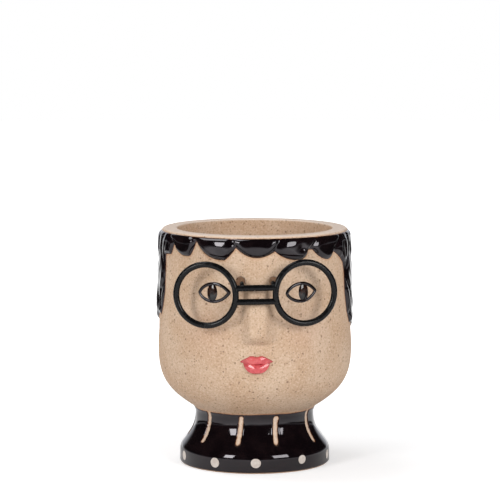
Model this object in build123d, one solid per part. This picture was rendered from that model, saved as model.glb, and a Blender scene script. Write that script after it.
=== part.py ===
from build123d import *
import math
import os

# A face vase: a stoneware head on a waisted neck and foot, wearing wire glasses.
# All lengths are in millimetres and all angles in degrees. The base stands on z = 0, the axis of
# the vessel is z, and the face looks along -y. Left and right are as seen from the front.

# Sizes of the vessel
vessel_height = 130.0
rim_radius = 51.0
belly_radius = 53.3
belly_height = 64.6
neck_radius = 32.3
neck_height = 27.5
foot_radius = 41.0
foot_band_height = 9.9
wall = 8.4
floor_thickness = 9.0
cavity_corner_radius = 4.0
lip_edge_radius = 1.6
mouth_edge_radius = 1.0
foot_edge_radius = 0.8
shoulder_radius = 8.0
shoulder_turn = 37.0
overrun = 5.0

neck_round_radius = 6.0
chin_angle = 58.0
# Pull of the two ends of each free curve, as shares of its rise: foot, then chin
foot_pull_shares = (0.45, 0.45)
chin_pull_shares = (0.56, 0.47)

# Places on the head, as shares of the way up from the belly to the rim
nose_root_share = 0.777
hole_share = 0.638
eye_share = 0.532
nose_tip_share = 0.252
hair_line_share = 0.219
nose_end_share = 0.117
hair_end_share = 0.021

# Sizes of the nose
nose_width = 18.0
nose_root_width = 16.5
nose_relief = 5.9
nose_seat = 3.0
nose_sink = 0.5

# Sizes of the hair
bare_lip_drop = 1.3
hair_relief = 1.9
seam_relief = 0.6
# Angle of each seam of the fringe below the rim, and how far it leans on its way up to the rim
fringe_seams = ((-53.6, -7.0), (-34.0, -7.5), (-9.5, -4.5), (12.0, 3.5), (32.4, 5.5), (51.6, 6.5))
# How far each seam of the side and back swings to and fro, in degrees, each against its neighbour
seam_swing = 4.4
# Levels at which the locks swell or pinch: shares of the hair's height, of the swing, of the lean
# and of the relief
hair_level_shares = (
    (0, 0.30, 0, 0.70),
    (0.148, -1.0, 0, 1.0),
    (0.397, 1.0, 0, 1.0),
    (0.645, -1.0, 0, 1.0),
    (0.894, 1.0, 0, 1.0),
    (1, 0.22, 1.0, 0.55),
)
# A lock's crest: share of the relief that every lock has, and share that grows with its width
crest_shares = (0.64, 0.31)
fringe_length = 13.9
# Lower edge of the fringe from left to right: angle, share of the fringe's length, and bulge of
# the arc to the next point as a share of its chord
fringe_shares = (
    (-67.0, 0.97, 0.00),
    (-65.5, 0.97, -0.05),
    (-56.0, 0.48, -0.16),
    (-43.5, 0.85, -0.05),
    (-36.5, 0.33, -0.12),
    (-18.5, 0.93, -0.04),
    (-11.3, 0.44, -0.20),
    (13.2, 0.52, -0.04),
    (26.0, 0.94, -0.20),
    (32.5, 0.57, -0.06),
    (46.0, 1.00, -0.20),
    (53.8, 0.75, 0.05),
    (67.0, 1.28, 0.00),
)
# Side edges of the hair below the fringe: angle and share of the way down to the hair line
side_edge_shares = ((-67.0, 0.65), (-70.5, 0.85), (-74.0, 1.0), (76.0, 1.0), (70.5, 0.87), (67.0, 0.65))
lock_count = 15
lock_start_angle = 79.0
lock_drop = 6.0
# How far each lock of the side and back hangs, as shares of the drop
lock_drop_shares = (0.35, 0.8, 0.55, 1.0, 0.7, 1.15, 0.85, 1.2, 0.8, 1.1, 0.65, 0.95, 0.6, 0.75, 0.3)
lock_notch_rise = 3.0
lock_round_share = 0.20

# Sizes of the glaze on the neck and foot
glaze_thickness = 0.35
bare_foot_height = 0.9
glaze_rise = 3.5
stripe_width = 2.3
stripe_start = 4.7
stripe_gap = 0.4
stripe_count = 10
# How far each stripe and dot strays from an even spacing, in degrees, starting at the front
stripe_drifts = (0.5, 1.5, 2.0, 1.0, -1.5, 1.0, 0.5, 2.0, 5.5, 3.7)
dot_radius = 2.5
dot_height_share = 0.6
dot_drifts = (0, 1.0, 1.5, -1.0, 0.5, 2.0, -1.5, 1.0, 0, 3.0)
dot_size_shares = (1.16, 0.98, 0.96, 1.0, 1.04, 0.98, 1.02, 0.96, 1.0, 1.02)
dot_height_shares = (1.0, 1.19, 0.88, 1.05, 0.95, 1.1, 0.9, 1.0, 0.88, 1.0)

# Sizes of the eyes, which sit a touch to the right of the middle of the face
eye_angle = 26.9
eye_turn = 1.3
eye_length = 18.4
eye_rise = 5.3
eye_line_width = 1.2
eye_relief = 0.55
iris_width = 5.2
iris_height = 9.7
iris_relief = 0.8
iris_shift = 1.0

# Sizes of the lips
lip_drop = 3.0
mouth_width = 17.3
mouth_corner_rise = 1.4
upper_lip_rise = 4.4
lower_lip_drop = 5.4
lower_lip_width = 14.0
lip_bow_dip = 0.6
lip_relief = 2.0
lip_seat = 1.6
# Cupid's bow: share of the half width where each peak stands
bow_peak_share = 0.36
lower_lip_round_share = 0.62

# Sizes of the glasses and of the holes that carry them
wire_radius = 1.65
hook_wire_radius = 1.05
rim_ring_radius = 16.3
rim_spacing = 52.6
rim_yaw = 15.0
bridge_spacing = 7.4
hook_spacing = 16.4
hook_shift = 1.1
hook_rise = 2.75
hook_bend_radius = 1.7
hook_reach = 1.5
hook_slope = 8.0
hole_spacing = 17.7
hole_radius = 2.6
seat_clearance = 0.3
hang_tilt = 1.1
hang_shift = -1.1


lock_pitch = (360 - 2 * lock_start_angle) / (lock_count - 1)
hair_line_reach = belly_radius + 2 * hair_relief


def up_the_head(share):
    """Height on the head at a share of the way from the belly to the rim."""
    return belly_height + share * (vessel_height - belly_height)


nose_root_height = up_the_head(nose_root_share)
nose_tip_height = up_the_head(nose_tip_share)
nose_end_height = up_the_head(nose_end_share)
hole_height = up_the_head(hole_share)
eye_height = up_the_head(eye_share)
hair_line_height = up_the_head(hair_line_share)
hair_end_height = up_the_head(hair_end_share)
hair_top_height = vessel_height - bare_lip_drop
lip_height = belly_height - lip_drop
glaze_top_height = neck_height + glaze_rise
stripe_top_height = glaze_top_height - stripe_gap
stripe_bottom_height = foot_band_height + stripe_start
dot_height = dot_height_share * foot_band_height


def turned(section):
    """Turn a section, drawn as radius and height, once round the vessel's axis."""
    return revolve(Plane.XZ * section, axis=Axis.Z)


def head_radius(height):
    """Outer radius of the clay between the belly and the rim, which is one long shallow arch."""
    share = (height - belly_height) / (vessel_height - belly_height)
    return belly_radius - (belly_radius - rim_radius) * share**2


def chin_curves(round_radius, belly):
    """Round of the neck and curve of the chin, up to where the belly is widest."""
    turn = math.radians(chin_angle)
    centre = (neck_radius + neck_round_radius, neck_height)
    waist = (centre[0] - round_radius, neck_height)
    chin_start = (centre[0] - round_radius * math.cos(turn), neck_height + round_radius * math.sin(turn))
    neck_round = TangentArc(waist, chin_start, tangent=(0, 1))
    rise = belly[1] - chin_start[1]
    first_pull, last_pull = [share * rise for share in chin_pull_shares]
    chin = Bezier(
        chin_start,
        (chin_start[0] + first_pull * math.sin(turn), chin_start[1] + first_pull * math.cos(turn)),
        (belly[0], belly[1] - last_pull),
        belly,
    )
    return neck_round, chin


def foot_curve(start, direction, waist):
    """Hollow curve from the foot up to the waist."""
    rise = waist[1] - start.Y
    first_pull, last_pull = [share * rise for share in foot_pull_shares]
    return Bezier(start, start + direction * first_pull, (waist[0], waist[1] - last_pull), waist)


def outer_section(growth=0):
    """Half section of the vessel's outside, closed along its axis, or of a coat on it."""
    foot = foot_radius + growth
    belly = (belly_radius + growth, belly_height)
    lip_start = vessel_height - lip_edge_radius
    base = Line((0, 0), (foot - foot_edge_radius, 0))
    foot_edge = TangentArc(base @ 1, (foot, foot_edge_radius), tangent=(1, 0))
    turn = math.radians(shoulder_turn)
    band_top = foot_band_height - shoulder_radius * math.sin(turn)
    reach = shoulder_radius + growth
    shoulder_end = (foot_radius - shoulder_radius + reach * math.cos(turn), band_top + reach * math.sin(turn))
    band = Line(foot_edge @ 1, (foot, band_top))
    shoulder = TangentArc(band @ 1, shoulder_end, tangent=(0, 1))
    neck_round, chin = chin_curves(neck_round_radius - growth, belly)
    cavetto = foot_curve(shoulder @ 1, shoulder % 1, (neck_radius + growth, neck_height))
    head = TangentArc(belly, (head_radius(lip_start) + growth, lip_start), tangent=(0, 1))
    lip_edge = TangentArc(head @ 1, (rim_radius + growth - lip_edge_radius, vessel_height), tangent=head % 1)
    top = Line(lip_edge @ 1, (0, vessel_height))
    axis_line = Line(top @ 1, (0, 0))
    return make_face([base, foot_edge, band, shoulder, cavetto, neck_round, chin, head, lip_edge, top, axis_line])


def cavity_section():
    """Half section of the hollow: it follows the outside at the wall's thickness."""
    mouth_radius = rim_radius - wall
    inner_foot_radius = foot_radius - wall - shoulder_radius * (1 - math.cos(math.radians(shoulder_turn)))
    floor_line = Line((0, floor_thickness), (inner_foot_radius - cavity_corner_radius, floor_thickness))
    corner = TangentArc(
        floor_line @ 1,
        (inner_foot_radius - cavity_corner_radius / 4, floor_thickness + cavity_corner_radius),
        tangent=(1, 0),
    )
    neck_round, chin = chin_curves(neck_round_radius + wall, (belly_radius - wall, belly_height))
    inner_foot = foot_curve(corner @ 1, corner % 1, (neck_radius - wall, neck_height))
    head = TangentArc(chin @ 1, (mouth_radius, vessel_height - mouth_edge_radius), tangent=(0, 1))
    mouth_edge = TangentArc(head @ 1, (mouth_radius + mouth_edge_radius, vessel_height), tangent=head % 1)
    above = Polyline(
        mouth_edge @ 1,
        (mouth_radius + mouth_edge_radius, vessel_height + overrun),
        (0, vessel_height + overrun),
        (0, floor_thickness),
    )
    return make_face([floor_line, corner, inner_foot, neck_round, chin, head, mouth_edge, above])


def ridge_reach(height):
    """How far from the vessel's axis the straight ridge of the nose lies at a height."""
    root_reach = head_radius(nose_root_height) - nose_sink
    tip_reach = head_radius(nose_tip_height) + nose_relief
    return root_reach + (tip_reach - root_reach) * (nose_root_height - height) / (nose_root_height - nose_tip_height)


def nose_slice(height, width):
    """A level slice of the nose: half an ellipse whose flat back is sunk in the wall."""
    back_reach = head_radius(height) - nose_seat
    depth = ridge_reach(height) - back_reach
    edge = EllipticalCenterArc((0, 0), width / 2, depth, start_angle=180, arc_size=180)
    return Pos(0, -back_reach, height) * make_face([edge, Line(edge @ 1, edge @ 0)])


def nose_underside():
    """Everything below the tip of the nose, which rounds off from the ridge back to the face."""
    tip = Vector(-ridge_reach(nose_tip_height), nose_tip_height)
    end = Vector(nose_sink - head_radius(nose_end_height), nose_end_height)
    ridge_top = Vector(-ridge_reach(nose_root_height), nose_root_height)
    tip_round = TangentArc(tip, end, tangent=tip - ridge_top)
    front, back, low = tip.X - overrun, end.X + overrun, end.Y - overrun
    rest = Polyline(end, (back, end.Y), (back, low), (front, low), (front, tip.Y), tip)
    return extrude(Plane.YZ * make_face([tip_round, rest]), nose_width, both=True)


def nose():
    """Wedge of the nose: a straight ridge that grows out of the brow, and a rounded tip."""
    wedge = loft([nose_slice(nose_root_height, nose_root_width), nose_slice(nose_end_height, nose_width)], ruled=True)
    return wedge - nose_underside()


def head_plane(angle, height=0):
    """Plane through the vessel's axis that faces outward at an angle from the front."""
    turn = math.radians(angle)
    outward = (math.sin(turn), -math.cos(turn), 0)
    return Plane(origin=(0, 0, height), x_dir=(math.cos(turn), math.sin(turn), 0), z_dir=outward)


def outward_prism(sketch, angle, height=0):
    """Push a sketch outward from the axis, past everything on the head."""
    return extrude(head_plane(angle, height) * sketch, belly_radius + overrun)


def hook_axis(side):
    """Start of a hook hole on the face, left for side -1 and right for side 1."""
    offset = side * hole_spacing / 2
    return offset, -math.sqrt(head_radius(hole_height) ** 2 - offset**2)


def hook_hole(side):
    """Round hole that slopes down into the head, so that the hook hangs in by its weight."""
    x, y = hook_axis(side)
    slope = math.radians(hook_slope)
    plane = Plane(origin=(x, y, hole_height), x_dir=(1, 0, 0), z_dir=(0, math.cos(slope), -math.sin(slope)))
    return extrude(plane * Circle(hole_radius), 2 * wall, both=True)


def clay_vessel(outside):
    vessel = outside + nose() - turned(cavity_section())
    return vessel - hook_hole(-1) - hook_hole(1)


def seam_angles(swing_share, lean_share):
    """Angles of the seams between the locks, from the left of the fringe once round the head."""
    fringe = [angle + lean_share * lean for angle, lean in fringe_seams]
    side = []
    for place in range(lock_count + 1):
        swing = swing_share * seam_swing * (-1) ** place
        side.append(lock_start_angle + (place - 0.5) * lock_pitch + swing)
    return fringe + side


def level_point(angle, reach):
    turn = math.radians(angle)
    return reach * math.sin(turn), -reach * math.cos(turn)


def hair_level(height_share, swing_share, lean_share, relief_share):
    """Level section of the hair: one arc over each lock, from seam to seam."""
    height = hair_end_height + height_share * (hair_top_height - hair_end_height)
    base = head_radius(height)
    seams = seam_angles(swing_share, lean_share)
    seams.append(seams[0] + 360)
    edges = []
    for left, right in zip(seams, seams[1:]):
        fullness = crest_shares[0] + crest_shares[1] * (right - left) / lock_pitch
        crest = base + relief_share * fullness * hair_relief
        seam = base + relief_share * seam_relief
        ends = level_point(left, seam), level_point((left + right) / 2, crest), level_point(right, seam)
        edges.append(ThreePointArc(*ends))
    return Pos(0, 0, height) * make_face(edges)


def hair_form():
    """Solid head of hair: locks that swell and pinch in turn between the seams."""
    levels = [hair_level(*shares) for shares in hair_level_shares]
    return loft(levels, ruled=True)


def face_point(angle, drop):
    """Point of the hair's lower edge, as seen from the front, at a drop below the rim."""
    return (rim_radius + hair_relief) * math.sin(math.radians(angle)), vessel_height - drop


def face_window():
    """The opening in the hair that leaves the face free, as seen from the front."""
    side_length = vessel_height - hair_line_height
    fringe = [face_point(angle, share * fringe_length) for angle, share, bulge in fringe_shares]
    edges = []
    for index in range(len(fringe) - 1):
        start, end = fringe[index], fringe[index + 1]
        bulge = fringe_shares[index][2] * math.dist(start, end)
        edges.append(SagittaArc(start, end, bulge) if bulge else Line(start, end))
    sides = [face_point(angle, share * side_length) for angle, share in side_edge_shares]
    left, right = sides[:3], sides[3:]
    edges.append(Spline(right[0], right[1], right[2], fringe[-1]))
    edges.append(Spline(fringe[0], left[0], left[1], left[2]))
    below = hair_end_height - overrun
    edges.append(Polyline(left[2], (left[2][0], below), (right[0][0], below), right[0]))
    return extrude(Plane.XZ * make_face(edges), belly_radius + 2 * overrun)


def lock_notch(index):
    """Space between the rounded ends of two neighbouring locks, below their groove."""
    half = hair_line_reach * math.tan(math.radians(lock_pitch / 2))
    shares = [lock_drop_shares[place % lock_count] for place in (index, index + 1)]
    low = [hair_line_height - share * lock_drop for share in shares]
    left, right, top = (-half, low[0]), (half, low[1]), (0, hair_line_height + lock_notch_rise)
    below = hair_end_height - overrun
    edges = [
        SagittaArc(left, top, -lock_round_share * half),
        SagittaArc(top, right, -lock_round_share * half),
        Polyline(right, (half, below), (-half, below), left),
    ]
    return outward_prism(make_face(edges), lock_start_angle + (index + 0.5) * lock_pitch)


def hair():
    locks = hair_form() - turned(outer_section()) - face_window()
    for index in range(-1, lock_count):
        locks -= lock_notch(index)
    return locks


def coat(thickness, low, high):
    """Even coat round the outside between two heights, from which a patch of glaze is cut."""
    reach = belly_radius + overrun
    band = Pos(reach / 2, (low + high) / 2) * Rectangle(reach, high - low)
    return turned((outer_section(thickness) - outer_section()) & band)


def stripe_angle(index):
    pitch = 360 / stripe_count
    return pitch * (index + 0.5) + stripe_drifts[index]


def dot_window(index):
    pitch = 360 / stripe_count
    shape = Circle(dot_size_shares[index] * dot_radius)
    return outward_prism(shape, pitch * index + dot_drifts[index], dot_height_shares[index] * dot_height)


def neck_glaze():
    """Black coat of the neck and foot, open at each stripe and dot."""
    glaze = coat(glaze_thickness, bare_foot_height, glaze_top_height)
    stripe_middle = (stripe_bottom_height + stripe_top_height) / 2
    stripe = SlotOverall(stripe_top_height - stripe_bottom_height, stripe_width, rotation=90)
    for index in range(stripe_count):
        glaze -= outward_prism(stripe, stripe_angle(index), stripe_middle)
        glaze -= dot_window(index)
    return glaze


def foot_dots():
    """Off-white dots that fill the round openings of the black coat."""
    glaze = coat(glaze_thickness, bare_foot_height, foot_band_height)
    dots = [glaze & dot_window(index) for index in range(stripe_count)]
    return Compound(children=[dot.solid() for dot in dots])


def almond(half_length, rise):
    """Eye outline: two arcs that meet in two corners."""
    upper = ThreePointArc((-half_length, 0), (0, rise), (half_length, 0))
    lower = ThreePointArc((half_length, 0), (0, -rise), (-half_length, 0))
    return make_face([upper, lower])


def inner_almond():
    """The eye's opening: the same two arcs, moved in by the width of the line."""
    half_length = eye_length / 2
    arc_radius = (half_length**2 + eye_rise**2) / (2 * eye_rise)
    inner_radius = arc_radius - eye_line_width
    inner_half = math.sqrt(inner_radius**2 - (arc_radius - eye_rise) ** 2)
    return almond(inner_half, eye_rise - eye_line_width)


def eye_coat(thickness):
    return coat(thickness, eye_height - eye_length, eye_height + eye_length)


def eye_prism(side, sketch):
    return outward_prism(sketch, side * eye_angle + eye_turn, eye_height)


def eye_line(side):
    return eye_coat(eye_relief) & eye_prism(side, almond(eye_length / 2, eye_rise) - inner_almond())


def iris(side):
    oval = Pos(side * iris_shift, 0) * Ellipse(iris_width / 2, iris_height / 2)
    return eye_coat(iris_relief) & eye_prism(side, oval & inner_almond())


def lip_crown(width, rise, height):
    """Soft swelling of a lip: an oval body sunk in the face."""
    depth = lip_relief + lip_seat
    oval = scale(Sphere(1), by=(width / 2, depth, rise))
    return Pos(0, lip_seat - head_radius(height), height) * oval


def upper_lip(outside):
    """Upper lip with its bow, down to the line where the lips meet."""
    half = mouth_width / 2
    peak = (bow_peak_share * half, upper_lip_rise)
    dip = (0, upper_lip_rise - lip_bow_dip)
    corner = (half, mouth_corner_rise)
    edges = [
        ThreePointArc((-half, mouth_corner_rise), (0, 0), corner),
        SagittaArc(corner, peak, lip_bow_dip / 2),
        SagittaArc(peak, dip, -lip_bow_dip / 4),
        SagittaArc(dip, (-peak[0], peak[1]), -lip_bow_dip / 4),
        SagittaArc((-peak[0], peak[1]), (-half, mouth_corner_rise), lip_bow_dip / 2),
    ]
    outline = outward_prism(make_face(edges), 0, lip_height)
    crown_height = lip_height + upper_lip_rise / 2
    return (lip_crown(mouth_width + lip_seat, upper_lip_rise, crown_height) & outline) - outside


def lower_lip(outside):
    """Fuller lower lip, hung under the line where the lips meet."""
    half = lower_lip_width / 2
    meet = mouth_corner_rise * (half / (mouth_width / 2)) ** 2
    edges = [
        ThreePointArc((half, meet), (0, 0), (-half, meet)),
        Spline(
            (-half, meet),
            (-lower_lip_round_share * half, -lower_lip_drop * (1 - lower_lip_round_share**4)),
            (0, -lower_lip_drop),
            (lower_lip_round_share * half, -lower_lip_drop * (1 - lower_lip_round_share**4)),
            (half, meet),
        ),
    ]
    outline = outward_prism(make_face(edges), 0, lip_height)
    crown_height = lip_height - lower_lip_drop / 2
    return (lip_crown(lower_lip_width + lip_seat, lower_lip_drop, crown_height) & outline) - outside


# Places of the glasses, worked out from the holes that carry them and the nose that they rest on
tilt_rise = math.sin(math.radians(hang_tilt))
play = hole_radius - hook_wire_radius - seat_clearance
left_shift = hang_shift + hook_shift + (hole_spacing - hook_spacing) / 2
right_shift = hang_shift + hook_shift - (hole_spacing - hook_spacing) / 2
left_room = math.sqrt(play**2 - left_shift**2) - (hook_spacing / 2 - hook_shift) * tilt_rise
right_room = math.sqrt(play**2 - right_shift**2) + (hook_spacing / 2 + hook_shift) * tilt_rise
hook_drop = min(left_room, right_room)
hole_mouth_y = hook_axis(1)[1]
slope_rise = math.tan(math.radians(hook_slope))
lower_guess_height = hole_height - hook_drop - hook_rise - bridge_spacing
bridge_y = -(ridge_reach(lower_guess_height) + seat_clearance + wire_radius)
hook_corner_height = hole_height - hook_drop + (hole_mouth_y - bridge_y) * slope_rise
upper_bridge_height = hook_corner_height - hook_rise
rim_height = upper_bridge_height - bridge_spacing / 2
bridge_half_chord = math.sqrt(rim_ring_radius**2 - (bridge_spacing / 2) ** 2)
rim_y = bridge_y + bridge_half_chord * math.sin(math.radians(rim_yaw))
bridge_half_length = rim_spacing / 2 - bridge_half_chord * math.cos(math.radians(rim_yaw))


def hung(piece):
    """Place a piece of the glasses as they hang: a touch to one side and tilted in their holes."""
    pivot = Pos(hang_shift, 0, hook_corner_height)
    return pivot * Rot(0, -hang_tilt, 0) * Pos(0, 0, -hook_corner_height) * piece


def rim(side):
    """Round rim of thick wire, turned a little to follow the face."""
    turn = Rot(0, 0, side * rim_yaw) * Rot(90, 0, 0)
    return Pos(side * rim_spacing / 2, rim_y, rim_height) * turn * Torus(rim_ring_radius, wire_radius)


def bridge(height):
    """Straight wire between the rims, its ends hollowed to sit round their wire."""
    wire = Pos(0, bridge_y, height) * Rot(0, 90, 0) * Cylinder(wire_radius, 2 * bridge_half_length)
    return wire - rim(-1) - rim(1)


def hook(side):
    """Thin wire that rises from the upper bridge, beside the rim, and bends back into its hole."""
    x = side * hook_spacing / 2 + hook_shift
    end_y = hole_mouth_y + wall + hook_reach
    end_height = hook_corner_height - (end_y - bridge_y) * slope_rise
    path = FilletPolyline(
        (x, bridge_y, upper_bridge_height),
        (x, bridge_y, hook_corner_height),
        (x, end_y, end_height),
        radius=hook_bend_radius,
    )
    wire = sweep(Plane(origin=path @ 0, z_dir=path % 0) * Circle(hook_wire_radius), path=path)
    return wire - bridge(upper_bridge_height) - rim(side)


os.makedirs("parts", exist_ok=True)
clay_outside = turned(outer_section())
clay = clay_vessel(clay_outside)
clay_form = clay_outside + nose()

nodes = {
    "clay_vessel": clay,
    "hair": hair(),
    "neck_glaze": neck_glaze(),
    "foot_dots": foot_dots(),
    "left_eye_line": eye_line(-1),
    "right_eye_line": eye_line(1),
    "left_iris": iris(-1),
    "right_iris": iris(1),
    "upper_lip": upper_lip(clay_form),
    "lower_lip": lower_lip(clay_form) - upper_lip(clay_form),
    "left_rim": hung(rim(-1)),
    "right_rim": hung(rim(1)),
    "upper_bridge": hung(bridge(upper_bridge_height)),
    "lower_bridge": hung(bridge(upper_bridge_height - bridge_spacing)),
    "left_hook": hung(hook(-1)),
    "right_hook": hung(hook(1)),
}

for name, piece in nodes.items():
    export_step(piece, f"parts/{name}.step")
print("bridges lie at y", round(bridge_y, 2), "and the rims' middle at height", round(rim_height, 2))
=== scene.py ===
# %% [markdown]
# # A face vase with wire glasses
# A small stoneware vase stands on a glazed foot. Black glaze covers its sculpted hair, its neck and
# its foot, and wire glasses hang in two holes beside the nose. The CAD model is loaded first and
# never moves. Every piece made here lies where its CAD solid is, in metres.

# %% Load the CAD frame
import math

import bpy
import numpy as np
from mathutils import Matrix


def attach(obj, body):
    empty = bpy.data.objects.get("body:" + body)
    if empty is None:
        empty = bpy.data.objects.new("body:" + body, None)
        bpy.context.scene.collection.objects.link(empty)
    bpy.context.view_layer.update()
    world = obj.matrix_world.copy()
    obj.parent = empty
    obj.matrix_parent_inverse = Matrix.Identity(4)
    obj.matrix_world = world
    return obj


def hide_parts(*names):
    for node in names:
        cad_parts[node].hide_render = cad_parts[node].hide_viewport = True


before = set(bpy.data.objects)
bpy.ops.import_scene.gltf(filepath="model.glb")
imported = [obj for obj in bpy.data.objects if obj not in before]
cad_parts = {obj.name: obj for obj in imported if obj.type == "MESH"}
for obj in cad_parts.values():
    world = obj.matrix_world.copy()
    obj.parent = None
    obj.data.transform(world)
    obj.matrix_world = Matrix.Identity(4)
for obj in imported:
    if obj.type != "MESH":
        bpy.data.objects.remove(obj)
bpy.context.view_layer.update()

# %% [markdown]
# ## Sizes that the pieces share
# The pieces are worked out in millimetres, as a potter would measure them, and become metres when
# a mesh is made. The vessel is turned, so most of its sizes are a height and a radius. Angles run
# from the middle of the face, which looks along -Y, and grow towards +X.

# %% Shared sizes, in millimetres
MM = 0.001
vessel_height, rim_radius, lip_edge, mouth_edge = 130.0, 51.0, 1.6, 1.0
belly_radius, belly_height, chin_angle = 53.3, 64.6, 58
neck_radius, neck_height, neck_round = 32.3, 27.5, 6.0
foot_radius, foot_edge = 41.0, 0.8
wall, floor_thickness = 8.4, 9.0
# Pull of the two ends of each free curve, as shares of its rise
foot_pull, chin_pull = (0.45, 0.45), (0.56, 0.47)


def bezier(points, count):
    """Points along a cubic curve, without its first point."""
    p = np.array(points, float)
    t = np.linspace(0, 1, count + 1)[1:, None]
    return (1 - t) ** 3 * p[0] + 3 * (1 - t) ** 2 * t * p[1] + 3 * (1 - t) * t**2 * p[2] + t**3 * p[3]


def arc(centre, radius, start, end, count):
    """Points along an arc between two angles in degrees, without its first point."""
    turn = np.radians(np.linspace(start, end, count + 1)[1:])
    return np.column_stack([centre[0] + radius * np.cos(turn), centre[1] + radius * np.sin(turn)])


def head_radius(height, belly=belly_radius):
    """Radius of the long arc between the belly and the rim."""
    rise, inset = vessel_height - belly_height, belly_radius - rim_radius
    radius = (rise**2 + inset**2) / (2 * inset)
    return belly - radius + np.sqrt(radius**2 - (np.asarray(height, float) - belly_height) ** 2)


def rising_curve(start, angle, end, pull, count):
    """Curve that leaves its start at an angle from upright, and is upright at its end."""
    rise = end[1] - start[1]
    lean = np.array([math.sin(math.radians(angle)), math.cos(math.radians(angle))])
    return bezier((start, start + pull[0] * rise * lean, (end[0], end[1] - pull[1] * rise), end), count)


def waist_to_belly(round_radius, belly, counts):
    """Round of the neck, then the curve of the chin, up to where the belly is widest."""
    waist = arc((neck_radius + neck_round, neck_height), round_radius, 180, 180 - chin_angle, counts[0])
    chin = rising_curve(waist[-1], chin_angle, (belly, belly_height), chin_pull, counts[1])
    return np.vstack([waist, chin])


# %% [markdown]
# ## Camera
# The photograph is taken from just above the rim, with a long lens, so the rim shows as a narrow
# ellipse and upright lines stay upright. The camera stands 1.4 m away, 276 mm up, and a touch to
# the left of the middle of the face.

# %% Camera at the photograph's viewing angle
camera_distance, camera_height = 1.400, 0.276
camera_side, camera_heading, camera_dip = -1.5, 1.394, 6.472
lens_mm = 184.3
camera = bpy.data.objects.new("camera", bpy.data.cameras.new("camera"))
bpy.context.scene.collection.objects.link(camera)
around = math.radians(camera_side)
camera.location = (camera_distance * math.sin(around), -camera_distance * math.cos(around), camera_height)
camera.rotation_euler = (math.radians(90 - camera_dip), 0, -math.radians(camera_heading))
camera.data.lens = lens_mm
camera.data.clip_start, camera.data.clip_end = 0.01, 50
bpy.context.scene.camera = camera
print("camera at", [round(value, 3) for value in camera.location])

# %% [markdown]
# ## Nodes written as sums
# Shaders and geometry trees are both made of nodes, and most of their nodes are plain sums. A
# Signal stands for the value at a socket. Adding or multiplying signals adds Math nodes to their
# tree, so a tree reads like the sum that it works out.

# %% Node helpers
class Signal:
    """The value at a socket. Sums on it become Math nodes in the socket's own tree."""

    def __init__(self, socket):
        self.socket, self.tree = socket, socket.id_data

    def __add__(self, other):
        return calc("ADD", self, other)

    def __sub__(self, other):
        return calc("SUBTRACT", self, other)

    def __rsub__(self, other):
        return calc("SUBTRACT", other, self)

    def __mul__(self, other):
        return calc("MULTIPLY", self, other)

    def __truediv__(self, other):
        return calc("DIVIDE", self, other)

    def __rtruediv__(self, other):
        return calc("DIVIDE", other, self)


def feed(socket, value):
    """Link a signal to a socket, or set a plain value on it."""
    if isinstance(value, Signal):
        value.tree.links.new(value.socket, socket)
    else:
        socket.default_value = value


def add_node(tree, kind, inputs=None, **settings):
    """Add a node, set its properties, and feed its inputs."""
    made = tree.nodes.new(kind)
    for key, value in settings.items():
        setattr(made, key, value)
    for key, value in (inputs or {}).items():
        feed(made.inputs[key], value)
    return made


def signal(tree, kind, inputs=None, output=0, **settings):
    """Add a node and return one of its outputs."""
    return Signal(add_node(tree, kind, inputs, **settings).outputs[output])


def signals(tree, kind, inputs=None, **settings):
    """Add a node and return its outputs by name."""
    return {socket.name: Signal(socket) for socket in add_node(tree, kind, inputs, **settings).outputs}


def calc(operation, *values, clamp=False):
    """Output of a Math node."""
    tree = next(value.tree for value in values if isinstance(value, Signal))
    return signal(tree, "ShaderNodeMath", dict(enumerate(values)), operation=operation, use_clamp=clamp)


def smooth_step(value, low, high, start=0.0, end=1.0):
    """Output of a smooth Map Range."""
    inputs = {"Value": value, "From Min": low, "From Max": high, "To Min": start, "To Max": end}
    return signal(value.tree, "ShaderNodeMapRange", inputs, "Result", interpolation_type="SMOOTHSTEP")


def mix_colour(factor, first, second):
    """Output of a colour Mix node."""
    return signal(factor.tree, "ShaderNodeMix", {0: factor, 6: first, 7: second}, 2, data_type="RGBA")


def split(vector):
    """X, Y and Z of a vector."""
    return signals(vector.tree, "ShaderNodeSeparateXYZ", {0: vector})


def length(vector):
    """Length of a vector."""
    return signal(vector.tree, "ShaderNodeVectorMath", {0: vector}, "Value", operation="LENGTH")


def clear_tree(owner):
    """The emptied node tree of a world or a material."""
    owner.use_nodes = True
    owner.node_tree.nodes.clear()
    return owner.node_tree


def new_tree(name, kind, inputs, outputs):
    """A tree with named sockets. It returns the tree, its inputs as signals and its output sockets."""
    made = bpy.data.node_groups.new(name, kind)
    for in_out, sockets in (("INPUT", inputs), ("OUTPUT", outputs)):
        for label, socket_kind in sockets.items():
            made.interface.new_socket(label, in_out=in_out, socket_type="NodeSocket" + socket_kind)
    return made, signals(made, "NodeGroupInput"), add_node(made, "NodeGroupOutput").inputs


# %% [markdown]
# ## Studio
# The vase stands on a white sweep. Two soft boxes in front, left and right, make the paired
# highlights on the neck and the paired shadows of the rims on the face. Glossy black glaze is
# mostly a mirror, so what it reflects matters as much as its colour: the grey floor near by, the
# white backdrop behind, a dark card at either side, and a dark room in front. Light Path tells
# which rays ask.

# %% World: white for the camera, soft for matt surfaces, a dark room for the gloss
room_light, room_dark, near_floor, backdrop = 0.35, 0.010, 0.42, 1.0
gloss_tint = (0.92, 0.94, 1.0, 1)
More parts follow.
